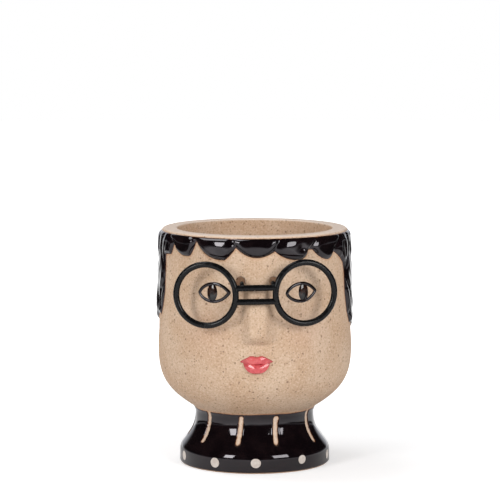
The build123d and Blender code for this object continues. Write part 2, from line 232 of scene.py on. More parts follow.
# Heights and headings between which the room darkens and the backdrop sets in
horizon, backdrop_span = (0.0, 0.05), (0.78, 0.92)
bpy.context.scene.view_settings.view_transform = "Standard"
world = bpy.data.worlds.new("studio")
bpy.context.scene.world = world
sky = clear_tree(world)
rays = signals(sky, "ShaderNodeLightPath")
heading = split(signal(sky, "ShaderNodeTexCoord", None, "Generated"))
room = smooth_step(heading["Z"], *horizon, near_floor, room_dark)
gloss = calc("MAXIMUM", room, smooth_step(heading["Y"], *backdrop_span, 0.0, backdrop))
level = rays["Is Glossy Ray"] * (gloss - room_light) + room_light
seen = calc("MAXIMUM", rays["Is Camera Ray"], rays["Is Transmission Ray"])
strength = seen * (1.0 - level) + level
tint = mix_colour(rays["Is Glossy Ray"], (1, 1, 1, 1), gloss_tint)
back = signal(sky, "ShaderNodeBackground", {"Color": tint, "Strength": strength})
add_node(sky, "ShaderNodeOutputWorld", {"Surface": back})

# %% Floor: it keeps the shadow, and turns white away from the vase
floor_colour, card_colour = (0.80, 0.80, 0.81, 1), (0.03, 0.03, 0.03, 1)
glow_near, floor_in_gloss, far_gain = 0.42, 0.35, 0.60
# Distances in metres between which the floor turns white and the dark cards begin
whitening, card_reach = (0.10, 0.42), (0.30, 0.50)
# Shares of the way to the back between which the far side and the cards set in
far_span, card_span = (0.72, 0.88), (-0.60, -0.30)
bpy.ops.mesh.primitive_circle_add(vertices=128, radius=3.0, fill_type="NGON", location=(0, 0, 0))
floor = bpy.context.object
floor.name = "studio_floor"
floor_paint = bpy.data.materials.new("studio_floor")
tree = clear_tree(floor_paint)
rays = signals(tree, "ShaderNodeLightPath")
place = signal(tree, "ShaderNodeTexCoord", None, "Object")
reach = length(place)
glow = smooth_step(reach, *whitening, glow_near, 1.0)
behind = split(place)["Y"] / calc("MAXIMUM", reach, 0.01)
far_side = smooth_step(behind, *far_span)
card = smooth_step(behind, *card_span) * (1.0 - far_side) * smooth_step(reach, *card_reach)
card = card * rays["Is Glossy Ray"]
in_gloss = rays["Is Glossy Ray"] * ((far_side * far_gain + floor_in_gloss) * (1.0 - card))
matt = signal(tree, "ShaderNodeBsdfDiffuse", {"Color": mix_colour(card, floor_colour, card_colour)})
lit = signal(tree, "ShaderNodeEmission", {"Strength": glow * (rays["Is Camera Ray"] + in_gloss)})
both = signal(tree, "ShaderNodeAddShader", {0: matt, 1: lit})
add_node(tree, "ShaderNodeOutputMaterial", {"Surface": both})
floor.data.materials.append(floor_paint)

# %% Two soft boxes in front and a soft light overhead
# Each lamp: angle from the front, height above the horizon, distance, width, height, watts
lamps = {
    "soft_box_left": (-43.5, 20, 1.10, 0.29, 0.44, 4.8),
    "soft_box_right": (40, 20, 1.10, 0.48, 0.44, 5.6),
    "overhead": (-115, 68, 1.10, 0.60, 0.50, 4.0),
}
lamp_aim = np.array([0, 0, 0.07])
for name, (angle, rise, distance, width, height, watts) in lamps.items():
    lamp = bpy.data.objects.new(name, bpy.data.lights.new(name, "AREA"))
    bpy.context.scene.collection.objects.link(lamp)
    lamp.data.shape = "RECTANGLE"
    lamp.data.size, lamp.data.size_y, lamp.data.energy = width, height, watts
    turn, lift = math.radians(angle), math.radians(rise)
    outward = np.array([math.sin(turn) * math.cos(lift), -math.cos(turn) * math.cos(lift), math.sin(lift)])
    lamp.location = outward * distance + lamp_aim
    lamp.rotation_euler = (math.radians(90 - rise), 0, turn)
print("lamps:", sorted(lamps))

# %% [markdown]
# ## Effects that several materials use
# Stoneware is grainy and full of iron specks, and every glaze on it has the same slight ripple.
# Each effect is a node group with named inputs, built once. A group only puts out colours, masks
# and normals. The Principled shader stays in each material.

# %% Node group: iron specks in clay
speck_sockets = {"Place": "Vector", "Spacing": "Float", "Size": "Float", "Share": "Float"}
specks, given, result = new_tree("iron_specks", "ShaderNodeTree", speck_sockets, {"Mask": "Float"})
cells = signals(specks, "ShaderNodeTexVoronoi", {"Vector": given["Place"], "Scale": 1.0 / given["Spacing"]})
lot = signals(specks, "ShaderNodeSeparateColor", {0: cells["Color"]})
chosen = calc("LESS_THAN", lot["Red"], given["Share"])
speck_size = given["Size"] * (lot["Green"] + 0.35)
near = calc("SUBTRACT", 1.0, cells["Distance"] / speck_size, clamp=True)
feed(result["Mask"], smooth_step(near, 0.0, 0.55) * chosen)

# %% Node group: ripple of a glaze that has flowed
ripple_sockets = {"Place": "Vector", "Ripple Size": "Float", "Depth": "Float"}
ripple_results = {"Normal": "Vector", "Cloud": "Float"}
ripple, given, result = new_tree("glaze_ripple", "ShaderNodeTree", ripple_sockets, ripple_results)
noise = {"Vector": given["Place"], "Scale": 1.0 / given["Ripple Size"], "Detail": 2.0}
cloud = signal(ripple, "ShaderNodeTexNoise", noise, "Fac")
bump = signal(ripple, "ShaderNodeBump", {"Height": cloud, "Distance": given["Depth"], "Strength": 1.0})
feed(result["Normal"], bump)
feed(result["Cloud"], cloud)


# %% Material helpers
def new_material(name, **settings):
    """A Principled material: it returns its tree, its shader's sockets and the object's coordinates too."""
    made = bpy.data.materials.new(name)
    tree = clear_tree(made)
    plain = {key.replace("_", " "): value for key, value in settings.items()}
    shader = add_node(tree, "ShaderNodeBsdfPrincipled", plain)
    add_node(tree, "ShaderNodeOutputMaterial", {"Surface": Signal(shader.outputs[0])})
    return made, tree, shader.inputs, signal(tree, "ShaderNodeTexCoord", None, "Object")


def new_coating(name, ripple_size, ripple_depth, **settings):
    """A material whose surface ripples. It returns the ripple's cloud as well."""
    made, tree, paint, place = new_material(name, **settings)
    inputs = {"Place": place, "Ripple Size": ripple_size, "Depth": ripple_depth}
    wave = signals(tree, "ShaderNodeGroup", inputs, node_tree=ripple)
    feed(paint["Normal"], wave["Normal"])
    return made, tree, paint, place, wave["Cloud"]


def attribute(tree, name, output="Fac"):
    """A value that the mesh carries."""
    return signal(tree, "ShaderNodeAttribute", None, output, attribute_name=name)


def add_specks(base, place, spacing, size, share, strength, colour):
    """The base colour with specks over it. The spacing is in metres, the size a share of it."""
    inputs = {"Place": place, "Spacing": spacing, "Size": size, "Share": share}
    mask = signal(place.tree, "ShaderNodeGroup", inputs, "Mask", node_tree=specks)
    return mix_colour(mask * strength, base, colour)


def srgb(red, green, blue):
    """A colour as it is read off a picture, turned into the linear values that Blender wants."""
    shares = [value / 255 for value in (red, green, blue)]
    return tuple(s / 12.92 if s <= 0.04045 else ((s + 0.055) / 1.055) ** 2.4 for s in shares) + (1.0,)


def drift(cloud, first, second):
    """A colour that drifts between two with a cloud."""
    return mix_colour(smooth_step(cloud, 0.35, 0.65), first, second)


# %% [markdown]
# ## Clay
# Bare stoneware is matt. Its colour drifts a little, sand shows as fine grain, and iron burns
# through as dark specks of several sizes. Next to the glaze the clay is scorched to a thin orange
# line, and the stripes of the neck are paler. The top of the rim is painted paler still, a painted
# sheen of the light that falls on it. These places follow the pieces, so the mesh carries them
# as attributes.

# %% Clay material
clay, tree, paint, place = new_material("clay")
cloud = signal(tree, "ShaderNodeTexNoise", {"Vector": place, "Scale": 60.0, "Detail": 4.0}, "Fac")
grain = signal(tree, "ShaderNodeTexNoise", {"Vector": place, "Scale": 1050.0, "Detail": 3.0}, "Fac")
colour = drift(cloud, srgb(200, 168, 139), srgb(209, 181, 155))
colour = mix_colour(smooth_step(grain, 0.50, 0.70, 0.0, 0.42), colour, srgb(160, 124, 92))
colour = mix_colour(smooth_step(grain, 0.48, 0.30, 0.0, 0.42), colour, srgb(230, 208, 184))
# Spacing, size, share and darkness of three kinds of specks
for kind in ((0.0013, 0.36, 0.34, 0.52), (0.0026, 0.24, 0.45, 0.66), (0.0055, 0.14, 0.45, 0.74)):
    colour = add_specks(colour, place, *kind, srgb(112, 78, 52))
# Attribute, strength and colour of each kind of place that the mesh marks
marks = (
    ("scorch", 0.80, srgb(178, 122, 74)),
    ("blush", 0.10, srgb(214, 150, 130)),
    # Painted sheen: the top of the rim is painted paler, as if lit from above. The stripes of the neck are
    # paler clay.
    ("worn", 0.75, srgb(226, 210, 198)),
)
for name, mark_strength, mark_colour in marks:
    colour = mix_colour(attribute(tree, name) * mark_strength, colour, mark_colour)
feed(paint["Base Color"], colour)
feed(paint["Roughness"], smooth_step(grain, 0.3, 0.7, 0.62, 0.86))
grit = {"Height": grain, "Distance": 0.00012, "Strength": 0.55}
feed(paint["Normal"], signal(tree, "ShaderNodeBump", grit))

# %% [markdown]
# ## Glazes
# The black glaze is a thick, very smooth glass over iron-rich slip. Where it lies thin, at an edge
# or on a ridge, it breaks to brown. Its depth is an attribute of the mesh. The other glazes are
# the same glass in another colour.

# %% Black, white, brown and pink glaze
shine = {"Roughness": 0.06, "IOR": 1.52, "Specular_Tint": (1.0, 0.95, 1.0, 1.0)}
black_glaze, tree, paint, place, cloud = new_coating("black_glaze", 0.0080, 0.00005, **shine)
deep, pale = (0.0040, 0.0022, 0.0028, 1), (0.0075, 0.0040, 0.0046, 1)
black = mix_colour(smooth_step(cloud, 0.4, 0.65), deep, pale)
thick = smooth_step(attribute(tree, "glaze_depth"), 0.10, 0.34)
feed(paint["Base Color"], mix_colour(thick, srgb(92, 52, 30), black))

white_glaze, tree, paint, place, cloud = new_coating("white_glaze", 0.0020, 0.00005, Roughness=0.32, IOR=1.5)
cream = drift(cloud, srgb(214, 205, 196), srgb(200, 188, 178))
feed(paint["Base Color"], add_specks(cream, place, 0.0012, 0.22, 0.25, 0.45, srgb(120, 96, 82)))

pink_glaze, tree, paint, place, cloud = new_coating("pink_glaze", 0.0028, 0.00005, Roughness=0.10, IOR=1.5)
pink = drift(cloud, srgb(204, 78, 84), srgb(216, 98, 98))
pink = mix_colour(smooth_step(attribute(tree, "glaze_depth"), 0.25, 1.1), srgb(176, 72, 72), pink)
feed(paint["Base Color"], add_specks(pink, place, 0.0013, 0.20, 0.30, 0.5, srgb(150, 62, 58)))

# The iris has a black edge, and an oval pupil below its middle
pupil_drop, pupil_squash = (0.0, 0.42, 0.0), (1.0, 1.35, 1.0)
brown_glaze, tree, paint, place, cloud = new_coating("brown_glaze", 0.0018, 0.00003, Roughness=0.08, IOR=1.52)
across = attribute(tree, "iris_place", "Vector")
pupil = signal(tree, "ShaderNodeVectorMath", {0: across, 1: pupil_drop}, operation="ADD")
pupil = signal(tree, "ShaderNodeVectorMath", {0: pupil, 1: pupil_squash}, operation="MULTIPLY")
brown = drift(cloud, srgb(36, 20, 14), srgb(52, 30, 20))
brown = mix_colour(smooth_step(length(across), 0.62, 0.86), brown, srgb(22, 13, 12))
brown = mix_colour(smooth_step(length(pupil), 0.62, 0.46), brown, srgb(16, 10, 10))
feed(paint["Base Color"], brown)

# %% [markdown]
# ## Painted wire
# The glasses are bent from steel wire and dipped in satin black paint. The paint is slightly
# rough, a little thicker here and there, and rubbed where the wire is handled.

# %% Wire material
satin = {"IOR": 1.36, "Specular_IOR_Level": 0.38}
black_wire, tree, paint, place, cloud = new_coating("black_wire", 0.0016, 0.00004, **satin)
rubbed = smooth_step(cloud, 0.3, 0.7)
feed(paint["Base Color"], mix_colour(rubbed, srgb(10, 10, 11), srgb(16, 16, 18)))
feed(paint["Roughness"], smooth_step(cloud, 0.3, 0.7, 0.20, 0.30))
print("materials:", len(bpy.data.materials))

# %% [markdown]
# ## Turning the vessel
# A vessel like this is turned, or cast in a turned mould, so its wall is one outline swung round
# an axis. Geometry Nodes do just that. The object's own mesh holds the outline as a row of points,
# and the tree lays a grid over them: each row of the grid reads its radius and height from one
# point, each column is one step round. The steps are closer at the face, where the detail is.

# %% Helpers for geometry trees
def geometry_tree(name, inputs):
    """A geometry tree with named inputs. It returns the tree, its inputs and its output socket."""
    sockets = {"Geometry": "Geometry", **inputs, "Material": "Material"}
    made, given, result = new_tree(name, "GeometryNodeTree", sockets, {"Geometry": "Geometry"})
    return made, given, result[0]


def end_tree(geometry, given, output):
    """Smooth shading, Realize Instances and Set Material close every tree."""
    tree = geometry.tree
    smoothed = signal(tree, "GeometryNodeSetShadeSmooth", {0: geometry})
    whole = signal(tree, "GeometryNodeRealizeInstances", {0: smoothed})
    painted = signal(tree, "GeometryNodeSetMaterial", {"Geometry": whole, "Material": given["Material"]})
    feed(output, painted)


def point_at(geometry, index):
    """X, Y and Z of one point of a geometry."""
    tree = geometry.tree
    inputs = {"Geometry": geometry, "Index": index}
    sampled = add_node(tree, "GeometryNodeSampleIndex", inputs, data_type="FLOAT_VECTOR")
    value_in = [socket for socket in sampled.inputs if socket.name == "Value" and socket.type == "VECTOR"][0]
    feed(value_in, signal(tree, "GeometryNodeInputPosition"))
    return split(Signal(sampled.outputs[0]))


def place_round(radius, angle, height):
    """Place at a radius, an angle from the front and a height."""
    east, south = radius * calc("SINE", angle), radius * calc("COSINE", angle) * -1.0
    return signal(radius.tree, "ShaderNodeCombineXYZ", {0: east, 1: south, 2: height})


def moved(geometry, position):
    """The geometry with its points set to new places."""
    return signal(geometry.tree, "GeometryNodeSetPosition", {"Geometry": geometry, "Position": position})


# %% Geometry Nodes: an outline turned round the axis
wall_sockets = {"Rows": "Int", "Columns": "Int", "Crowding": "Float"}
turned_wall, given, output = geometry_tree("turned_wall", wall_sockets)
posts = given["Columns"] + 1.0
grid = signal(turned_wall, "GeometryNodeMeshGrid", {"Vertices X": posts, "Vertices Y": given["Rows"]})
index = signal(turned_wall, "GeometryNodeInputIndex")
column = calc("FLOOR", (index + 0.5) / given["Rows"])
outline = point_at(given["Geometry"], index - column * given["Rows"])
turn = column / given["Columns"] * math.tau - math.pi
turn = turn - calc("SINE", turn) * given["Crowding"]
laid = moved(grid, place_round(outline["X"], turn, outline["Z"]))
sewn = signal(turned_wall, "GeometryNodeMergeByDistance", {"Geometry": laid, "Distance": 0.000002})
end_tree(sewn, given, output)


# %% Helpers: a new mesh object, a tree on it, and the plain mesh that comes out
def new_object(name, vertices, faces=(), edges=()):
    """An object at the origin whose mesh holds these points, in metres."""
    mesh = bpy.data.meshes.new(name)
    mesh.from_pydata(np.asarray(vertices).tolist(), edges, [list(face) for face in faces])
    made = bpy.data.objects.new(name, mesh)
    bpy.context.scene.collection.objects.link(made)
    return made


def keep_result(piece):
    """Keep what the modifiers make as the piece's plain mesh, and drop the modifiers."""
    bpy.context.view_layer.update()
    shape = piece.evaluated_get(bpy.context.evaluated_depsgraph_get())
    old, piece.data = piece.data, bpy.data.meshes.new_from_object(shape)
    piece.modifiers.clear()
    bpy.data.meshes.remove(old)
    piece.data.name = piece.name
    return piece


def grow(holder, tree, inputs):
    """Run a geometry tree on an object and keep the result."""
    modifier = holder.modifiers.new(tree.name, "NODES")
    modifier.node_group = tree
    for item in tree.interface.items_tree:
        if item.item_type == "SOCKET" and item.in_out == "INPUT" and item.name in inputs:
            modifier[item.identifier] = inputs[item.name]
    return keep_result(holder)


def points_of(piece):
    """The piece's points in millimetres, with the angle, distance from the axis and height of each."""
    flat = np.empty(len(piece.data.vertices) * 3)
    piece.data.vertices.foreach_get("co", flat)
    points = flat.reshape(-1, 3) / MM
    return points, np.arctan2(points[:, 0], -points[:, 1]), np.hypot(points[:, 0], points[:, 1]), points[:, 2]


def set_points(piece, points):
    """Move the piece's points."""
    piece.data.vertices.foreach_set("co", (points * MM).ravel())
    piece.data.update()


def add_values(piece, name, values, kind="FLOAT"):
    """Store one number or vector for each point, for a tree or a material to read."""
    added = piece.data.attributes.new(name, kind, "POINT")
    added.data.foreach_set("value" if kind == "FLOAT" else "vector", np.asarray(values, np.float32).ravel())


def hand_over(piece, node, body="vessel"):
    """Say which body the piece rides on and which CAD node it stands for, and hide that node."""
    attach(piece, body)
    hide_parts(node)
    triangles = sum(len(face.vertices) - 2 for face in piece.data.polygons)
    print(piece.name, "stands for", node, "with", triangles, "triangles")


# %% Outline of the outside, from the foot's edge to the lip, and a table of its radius
shoulder_radius, shoulder_turn, shoulder_top = 7.0, 37.0, 11.3
band_bottom = 1.4
band_top = shoulder_top - shoulder_radius * math.sin(math.radians(shoulder_turn))
shoulder = arc((foot_radius - shoulder_radius, band_top), shoulder_radius, 0, shoulder_turn, 10)
outside = np.vstack([
    [(foot_radius - foot_edge, 0.0)],
    arc((foot_radius - foot_edge, foot_edge), foot_edge, -90, 0, 3),
    np.column_stack([np.full(6, foot_radius), np.linspace(band_bottom, band_top, 6)]),
    shoulder,
    rising_curve(shoulder[-1], -shoulder_turn, (neck_radius, neck_height), foot_pull, 24),
    waist_to_belly(neck_round, belly_radius, (7, 44)),
    [(float(head_radius(z)), z) for z in np.linspace(belly_height, vessel_height - lip_edge, 86)[1:]],
])
lip_round = arc((rim_radius - lip_edge, vessel_height - lip_edge), lip_edge, 0, 90, 6)


def surface_radius(height):
    """Radius of the turned outside at a height."""
    return np.interp(height, outside[:, 1], outside[:, 0])


table_step = 0.25
table_heights = np.arange(0, vessel_height + table_step, table_step)
table_radii = surface_radius(table_heights)

# %% [markdown]
# ## What the hand does to the turned form
# The nose is pressed out of the wall: a straight ridge grows out of the brow, its sides fall away
# softly, and its tip rounds under. Nothing made by hand is perfectly round, so the wall also swells
# and dips by a tenth or two of a millimetre, and the head is drawn in a little at the eyes.

# %% Nose and unevenness as one relief over the turned form
nose_root, nose_tip, nose_end = 115.4, 81.1, 72.2
nose_half_root, nose_half_tip = 8.3, 9.6
nose_sink, nose_rise, tip_drop, tip_round = 0.5, 5.9, 1.8, 2.2
# Shares of the nose's half width between which its side falls away
nose_side = (0.34, 0.90)
head_waist = 0.45
# Depth, waves round the vessel, phase, and rise in millimetres for each radian of turn
swells = ((0.13, 2, 0.8, 40), (0.09, 3, 0, -23), (0.05, 5, 0, 9), (0.03, 9, 0, -6))


def smooth(value, low, high):
    """Smooth step from 0 at low to 1 at high."""
    share = np.clip((np.asarray(value, float) - low) / (high - low), 0, 1)
    return share * share * (3 - 2 * share)


def bell(value, middle, width):
    """Bell curve: 1 at the middle, and about a third at one width from it."""
    return np.exp(-((value - middle) / width) ** 2)


def unevenness(turn, height):
    """Slow swells of the wall, which fade out at the foot and at the lip."""
    swell = sum(depth * np.sin(waves * turn + phase + height / rise) for depth, waves, phase, rise in swells)
    swell = swell - head_waist * smooth(height, 66, 76) * (1 - smooth(height, 108, 126))
    return swell * smooth(height, 1, 12) * (1 - smooth(height, 124, 129))


def nose_relief(turn, height):
    """How far the nose stands out from the turned form."""
    across = np.abs(surface_radius(height) * np.sin(turn))
    root_reach = float(head_radius(nose_root)) - nose_sink
    tip_reach = float(head_radius(nose_tip)) + nose_rise
    ridge = root_reach + (tip_reach - root_reach) * (nose_root - height) / (nose_root - nose_tip)
    proud = np.maximum(np.minimum(ridge, tip_reach) - head_radius(np.clip(height, 60, 130)), 0)
    under = np.clip((nose_tip - tip_drop - height) / (nose_tip - tip_drop - nose_end), 0, 1)
    half = np.interp(height, [nose_end, nose_tip, nose_root], [nose_half_tip, nose_half_tip, nose_half_root])
    side = 1 - smooth(across, nose_side[0] * half, nose_side[1] * half)
    rounded = proud * (1 - under**tip_round) * side * smooth(height, nose_end - 1, nose_end + 1)
    return np.where(np.cos(turn) > 0, rounded, 0)


def relief(turn, height):
    """All that the hand adds to the turned form."""
    return unevenness(turn, height) + nose_relief(turn, height)


# %% [markdown]
# ## Hair outline
# One line divides hair from skin. It runs round the back over the tips of the locks, up the side of
# the face, across the fringe and down again. The clay needs it for its scorched edge, and the hair
# needs it for its own shape, so it comes first.

# %% The line between hair and skin
# Fringe from left to right: angle, height and bulge of the arc to the next point
fringe = (
    (-69.3, 117.2, 0.0), (-62.0, 117.8, -0.05), (-58.6, 123.4, -0.16), (-43.5, 118.3, -0.05),
    (-38.9, 126.3, -0.145), (-19.5, 117.1, -0.04), (-12.7, 123.8, -0.20), (10.4, 121.9, -0.09),
    (25.0, 116.9, -0.20), (32.5, 122.1, 0.02), (35.5, 122.0, -0.08), (46.0, 116.2, -0.20),
    (53.8, 119.6, 0.05), (66.0, 112.5, 0.0),
)
left_side = ((-76.5, 83.0), (-73.0, 88.0), (-70.0, 96.3), (-69.5, 106.8))
right_side = ((67.5, 106.8), (67.6, 96.3), (70.5, 85.4), (76.0, 79.0))
lock_start, lock_count, hair_line, lock_drop, notch_rise, tip_sharpness = 79.0, 15, 78.9, 6.0, 3.0, 2.4
lock_pitch = (360 - 2 * lock_start) / (lock_count - 1)
lock_drops = (0.1, 0.8, 0.55, 1.0, 0.7, 1.15, 0.85, 1.2, 0.8, 1.1, 0.65, 0.95, 0.6, 0.0, -0.8)
# Millimetres on the head for each degree round it
degree = math.radians(52.6)


def bulged(start, end, bulge, count=9):
    """Points from start to end along a shallow arc, in angle and height, without the last."""
    start, end = np.array(start), np.array(end)
    t = np.linspace(0, 1, count, endpoint=False)[:, None]
    chord = (end - start) * (degree, 1)
    across = np.array([-chord[1], chord[0]]) / (degree, 1)
    return start + t * (end - start) + 4 * bulge * t * (1 - t) * across


def lock_tips():
    """Lower edge of the side and back, from the right of the face round to the left."""
    rows = []
    for place in range(lock_count):
        middle = lock_start + place * lock_pitch
        tip = hair_line - lock_drops[place] * lock_drop
        for share in np.linspace(-0.5, 0.5, 11)[:-1]:
            round_off = abs(2 * share) ** tip_sharpness
            rows.append((middle + share * lock_pitch, tip + (hair_line + notch_rise - tip) * round_off))
    rows.append((lock_start + (lock_count - 0.5) * lock_pitch, hair_line + notch_rise))
    return np.array(rows)


arcs = [bulged(start[:2], end[:2], start[2]) for start, end in zip(fringe, fringe[1:])]
tips = lock_tips()
back_start = right_side[-1][0] + 0.5
tips = tips[(tips[:, 0] > back_start) & (tips[:, 0] < 360 + left_side[0][0])]
hair_loop = np.vstack([left_side, *arcs, [fringe[-1][:2]], right_side, tips])
print("hair line has", len(hair_loop), "points")


def line_distance(x, z, segments, unit=1.0):
    """Distance to a line, and whether the way straight up from a place crosses it an odd number of times."""
    best, odd = np.full(x.shape, 1e9), np.zeros(x.shape, bool)
    for (xa, za), (xb, zb) in segments:
        dx, dz = (xb - xa) * unit, zb - za
        px, pz = (x - xa) * unit, z - za
        t = np.clip((px * dx + pz * dz) / max(dx * dx + dz * dz, 1e-9), 0, 1)
        best = np.minimum(best, (px - t * dx) ** 2 + (pz - t * dz) ** 2)
        if xa != xb:
            odd ^= (x >= min(xa, xb)) & (x < max(xa, xb)) & (za + (x - xa) / (xb - xa) * dz > z)
    return np.sqrt(best), odd


# Pieces of the hair line, once round the head and a little beyond
three_rounds = np.vstack([hair_loop - (360, 0), hair_loop, hair_loop + (360, 0)])
hair_pieces = [
    (start, end) for start, end in zip(three_rounds, three_rounds[1:])
    if max(start[0], end[0]) >= -200 and min(start[0], end[0]) <= 200
]


def edge_distance(turn, height):
    """Distance to the hair line, in millimetres, positive in the hair."""
    distance, outside_hair = line_distance(np.degrees(turn), height, hair_pieces, degree)
    return np.where(outside_hair, -distance, distance)


# %% [markdown]
# ## The clay vessel
# The outline of the clay goes up the outside, over the lip, down the inside and across the floor,
# so the turned mesh is one closed wall. Then the hand's relief moves its points, and two round
# holes for the hooks are cut with a Boolean.

# %% Turn the wall and press out the nose
inner_belly = belly_radius - wall
mouth_start = vessel_height - mouth_edge
floor_radius, corner_radius, corner_end = 27.0, 3.125, 16.3
corner = arc((floor_radius, floor_thickness + corner_radius), corner_radius, -90, corner_end, 7)
inside = np.vstack([
    np.column_stack([(0, 6, 12, 18, 24), np.full(5, floor_thickness)]),
    corner,
    rising_curve(corner[-1], -corner_end, (neck_radius - wall, neck_height), foot_pull, 12),
    waist_to_belly(neck_round + wall, inner_belly, (8, 16)),
    [(float(head_radius(z, inner_belly)), z) for z in np.linspace(belly_height, mouth_start, 30)[1:]],
    arc((rim_radius - wall + mouth_edge, mouth_start), mouth_edge, 180, 90, 4),
])
base = np.column_stack([(0, 10, 20, 30, 37), np.zeros(5)])
flat_rim = np.column_stack([np.linspace(lip_round[-1][0], inside[-1][0], 9)[1:-1], np.full(7, vessel_height)])
clay_outline = np.vstack([base, outside, lip_round, flat_rim, inside[::-1]])
profile = np.column_stack([clay_outline[:, 0], np.zeros(len(clay_outline)), clay_outline[:, 1]]) * MM
clay_skin = new_object("clay_skin", profile)
grow(clay_skin, turned_wall, {"Rows": len(profile), "Columns": 340, "Crowding": 0.42, "Material": clay})
points, turn, reach, height = points_of(clay_skin)
on_outside = smooth(reach - surface_radius(height), -wall / 2, -0.2)
points[:, :2] *= (1 + on_outside * relief(turn, height) / np.maximum(reach, 1))[:, None]
set_points(clay_skin, points)
print("clay wall:", len(points), "points")

# %% [markdown]
# ## Neck and foot outline
# The black coat of the neck is open at ten upright stripes and stops a little above the table. Its
# edges waver as brushed edges do. One function tells how far inside the coat a place lies, and
# both the clay and the coat use it.

# %% How far inside the neck's coat a place lies
# Ten stripes: angle, lean over the stripe's height, bottom and top height
stripes = (
    (18.0, 1.3, 15.0, 29.9), (58.2, 0.0, 13.7, 33.0), (92.0, -0.8, 14.4, 30.0), (127.0, 0.6, 15.2, 30.2),
    (160.5, -0.4, 14.6, 33.0), (199.0, 0.9, 15.0, 29.8), (234.5, 0.2, 14.5, 30.1), (272.0, -1.0, 15.1, 30.0),
    (309.1, 0.6, 14.2, 33.0), (344.8, 1.0, 14.7, 30.0),
)
stripe_half_width, stripe_middle, stripe_half_rise = 1.15, 22, 8
glaze_top, glaze_bottom = 31.1, 0.45
# The brush left a blob near the top of the first stripe
blob_height, blob_reach, blob_size = 28.6, 1.1, 0.34


def neck_distance(turn, height):
    """Distance to the edge of the neck's coat, in millimetres, positive in the coat."""
    wander = 0.16 * np.sin(3 * turn + 1.0) + 0.10 * np.sin(7 * turn + 0.4) + 0.04 * np.sin(19 * turn)
    inside = np.minimum(glaze_top + wander - height, height - glaze_bottom - 0.5 * wander)
    for number, (angle, lean, low, high) in enumerate(stripes):
        middle = math.radians(angle) + math.radians(lean) * (height - stripe_middle) / stripe_half_rise
        gap = np.angle(np.exp(1j * (turn - middle))) * surface_radius(height)
        beyond = height - np.clip(height, low + stripe_half_width, high - stripe_half_width)
        brush = 0.07 * np.sin(1.9 * height + 2.3 * number) + 0.04 * np.sin(4.3 * height + number)
        blob = blob_size * bell(height, blob_height, blob_reach) if number == 0 else 0.0
        inside = np.minimum(inside, np.hypot(gap - blob / 2, beyond) - stripe_half_width - brush - blob)
    return inside


# %% Cut the hook holes
hole_spacing, hole_height, hole_radius, hole_slope = 17.7, 106.33, 2.6, 8.0
for side in (-1, 1):
    x = side * hole_spacing / 2
    y = -math.sqrt(float(head_radius(hole_height)) ** 2 - x**2)
    bpy.ops.mesh.primitive_cylinder_add(vertices=48, radius=hole_radius * MM, depth=3 * wall * MM)
    bar = bpy.context.object
    bar.rotation_euler = (math.radians(90 - hole_slope) - math.pi, 0, 0)
    bar.location = (x * MM, y * MM, hole_height * MM)
    step = clay_skin.modifiers.new("hole", "BOOLEAN")
    step.operation, step.solver, step.object = "DIFFERENCE", "EXACT", bar
cutters = [step.object for step in clay_skin.modifiers]
keep_result(clay_skin)
for cutter in cutters:
    bpy.data.objects.remove(cutter)

# %% Mark where the clay is scorched, where it blushes, where its stripes are paler, and where its rim top gets a painted sheen
scorch_width, neck_scorch_width, scorch_top, pale_stripe_bottom = 0.55, 0.42, 126, 12
scorch_strength, edge_scorch, stripe_scorch, stripe_paleness = 0.6, 1.0, 0.22, 0.55
cheek_angle, cheek_height, cheek_half_angle, cheek_half_height = 30, 79, 14, 11
points, turn, reach, height = points_of(clay_skin)
on_outside = smooth(reach - surface_radius(height), -1.5, -0.6)
hair_gap, neck_gap = edge_distance(turn, height), neck_distance(turn, height)
scorched = bell(hair_gap, -0.1, scorch_width) * (height < scorch_top) * scorch_strength
neck_share = np.where(np.abs(height - glaze_top) < 1.5, edge_scorch, stripe_scorch)
scorched = np.maximum(scorched, neck_share * bell(neck_gap, -0.05, neck_scorch_width))
add_values(clay_skin, "scorch", scorched * on_outside)
cheeks = bell(np.abs(np.degrees(turn)), cheek_angle, cheek_half_angle)
cheeks = cheeks * bell(height, cheek_height, cheek_half_height)
add_values(clay_skin, "blush", cheeks * on_outside)
# Painted sheen of light on the top of the rim. The stripes of the neck are paler clay.
painted_rim_sheen = smooth(height, vessel_height - 0.9, vessel_height - 0.1)
in_stripe = on_outside * smooth(-neck_gap, 0.2, 0.7) * (height > pale_stripe_bottom) * (height < glaze_top - 0.8)
add_values(clay_skin, "worn", np.maximum(painted_rim_sheen, stripe_paleness * in_stripe))
hand_over(clay_skin, "clay_vessel")

# %% [markdown]
# ## Laying a coat on the vessel
# Hair, glaze, irises and lips are all thin forms on the turned surface. Each is first made flat, as
# a sheet whose X is the angle, Y the height and Z the thickness. Then a geometry tree wraps the
# sheet round the vessel: it looks up the radius at each height in a table and adds the thickness.
# Flat, a form is easy to shape with sums over its whole grid, and the wrap is the same for all.

# %% Geometry Nodes: a flat sheet wrapped round the vessel
table = new_object("radius_table", np.column_stack([table_radii, 0 * table_radii, table_heights]) * MM)
wrapped_coat, given, output = geometry_tree("wrapped_coat", {"Radius Table": "Object", "Table Step": "Float"})
flat = split(signal(wrapped_coat, "GeometryNodeInputPosition"))
look_up = {"Object": given["Radius Table"]}
source = signal(wrapped_coat, "GeometryNodeObjectInfo", look_up, "Geometry", transform_space="ORIGINAL")
steps = flat["Y"] / given["Table Step"]
low_step = calc("FLOOR", steps)
lower, upper = point_at(source, low_step)["X"], point_at(source, low_step + 1.0)["X"]
skin = lower + calc("FRACT", steps) * (upper - lower) + flat["Z"]
end_tree(moved(given["Geometry"], place_round(skin, flat["X"], flat["Y"])), given, output)


